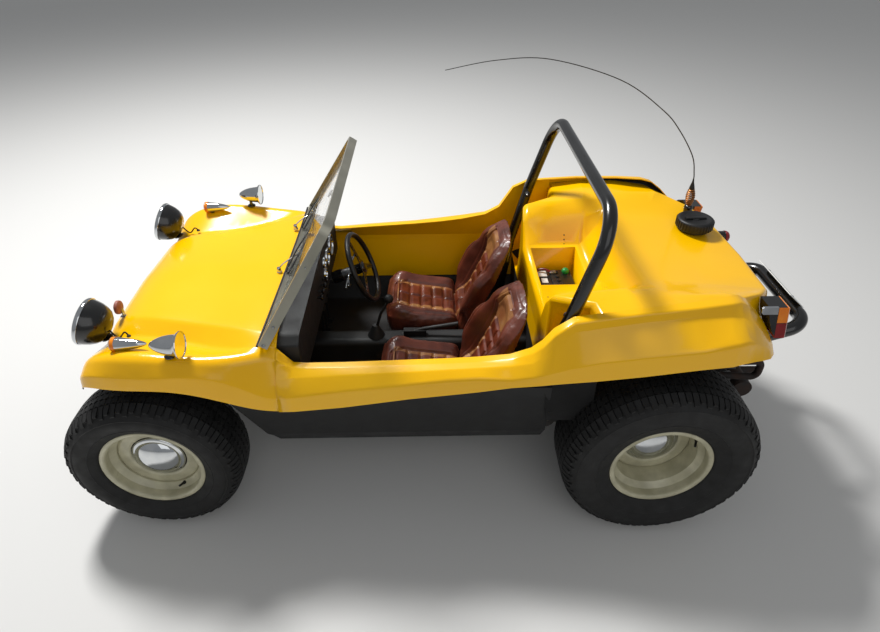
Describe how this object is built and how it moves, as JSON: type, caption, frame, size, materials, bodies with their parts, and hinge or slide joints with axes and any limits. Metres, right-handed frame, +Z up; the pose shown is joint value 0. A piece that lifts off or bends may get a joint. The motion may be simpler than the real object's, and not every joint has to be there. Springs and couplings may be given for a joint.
{
  "type": "dune buggy",
  "caption": "Open dune buggy with a moulded body, flat fenders, leaning windshield, roll bar, bucket seats and fat tyres.",
  "frame": {"origin": "on the ground under the middle of the vehicle's bounding box", "axes": "+X forward, +Y to the vehicle's left, +Z up"},
  "size_m": [3.1671, 1.556, 1.6766],
  "materials": {
    "yellow_gelcoat": "glossy yellow gel coat",
    "black_paint": "satin black",
    "black_trim": "matt black",
    "frame_aluminium": "weathered anodised",
    "clear_glass": "clear",
    "black_gloss": "gloss black",
    "brown_leather": "stitched leather",
    "chrome_trim": "polished",
    "black_steel": "painted steel",
    "cast_case": "cast",
    "plate_white": "blank white",
    "lamp_plastic": "black housing with red and amber lens",
    "horn_brown": "faded red-brown",
    "cream_paint": "cream enamel",
    "tyre_rubber": "tread rubber"
  },
  "bodies": {
    "chassis": {"body_shell": "yellow_gelcoat", "floor_pan": "black_paint", "dashboard": "black_trim", "windshield_frame": "frame_aluminium", "windshield_glass": "clear_glass", "roll_bar": "black_gloss", "seat_bases": "black_trim", "seat_cushions": "brown_leather", "seat_backs": "brown_leather", "steering_column": "chrome_trim", "gear_lever": "black_trim", "handbrake": "black_trim", "pedals": "black_trim", "battery": "black_trim", "fuel_cap": "black_trim", "antenna": "black_trim", "front_axle": "black_steel", "transaxle": "cast_case", "engine": "cast_case", "exhaust": "black_steel", "rear_bumper": "black_gloss", "number_plate": "plate_white", "tail_lamps": "lamp_plastic", "headlamps": "black_gloss", "front_signals": "chrome_trim", "door_mirrors": "chrome_trim", "horn": "horn_brown", "wipers": "black_trim", "rear_view_mirror": "black_trim"},
    "left_knuckle": {"left_knuckle": "black_steel"},
    "right_knuckle": {"right_knuckle": "black_steel"},
    "tie_rod": {"tie_rod": "black_steel"},
    "steering_wheel": {"steering_wheel": "black_gloss"},
    "front_left": {"front_left_rim": "cream_paint", "front_left_tyre": "tyre_rubber"},
    "front_right": {"front_right_rim": "cream_paint", "front_right_tyre": "tyre_rubber"},
    "rear_left": {"rear_left_rim": "cream_paint", "rear_left_tyre": "tyre_rubber"},
    "rear_right": {"rear_right_rim": "cream_paint", "rear_right_tyre": "tyre_rubber"}
  },
  "joints": [
    {"name": "left_steer", "type": "hinge", "parent": "chassis", "child": "left_knuckle", "pos_m": [1.23413, 0.425, 0.352], "axis": [0.0126, 0, 0.9999], "range_deg": [-25.5, 25.5]},
    {"name": "right_steer", "type": "hinge", "parent": "chassis", "child": "right_knuckle", "pos_m": [1.23413, -0.425, 0.352], "axis": [0.0126, 0, 0.9999], "range_deg": [-25.5, 25.5]},
    {"name": "tie_rod_slide", "type": "slide", "parent": "chassis", "child": "tie_rod", "axis": [0, 1, 0], "range_m": [-0.052, 0.052]},
    {"name": "steering_wheel_turn", "type": "hinge", "parent": "chassis", "child": "steering_wheel", "pos_m": [0.43868, -0.275, 0.71707], "axis": [-0.9224, 0, 0.3863], "range_deg": [-360, 360]},
    {"name": "front_left_spin", "type": "hinge", "parent": "left_knuckle", "child": "front_left", "pos_m": [1.23413, 0.6, 0.352], "axis": [0, 1, 0], "continuous": true},
    {"name": "front_right_spin", "type": "hinge", "parent": "right_knuckle", "child": "front_right", "pos_m": [1.23413, -0.6, 0.352], "axis": [0, 1, 0], "continuous": true},
    {"name": "rear_left_spin", "type": "hinge", "parent": "chassis", "child": "rear_left", "pos_m": [-0.82545, 0.6, 0.398], "axis": [0, 1, 0], "continuous": true},
    {"name": "rear_right_spin", "type": "hinge", "parent": "chassis", "child": "rear_right", "pos_m": [-0.82545, -0.6, 0.398], "axis": [0, 1, 0], "continuous": true}
  ],
  "couplings": [
    {"joint": "right_steer", "follows": "left_steer", "ratio": 1},
    {"joint": "tie_rod_slide", "follows": "left_steer", "m_per_rad": -0.114},
    {"joint": "steering_wheel_turn", "follows": "left_steer", "ratio": 14}
  ]
}
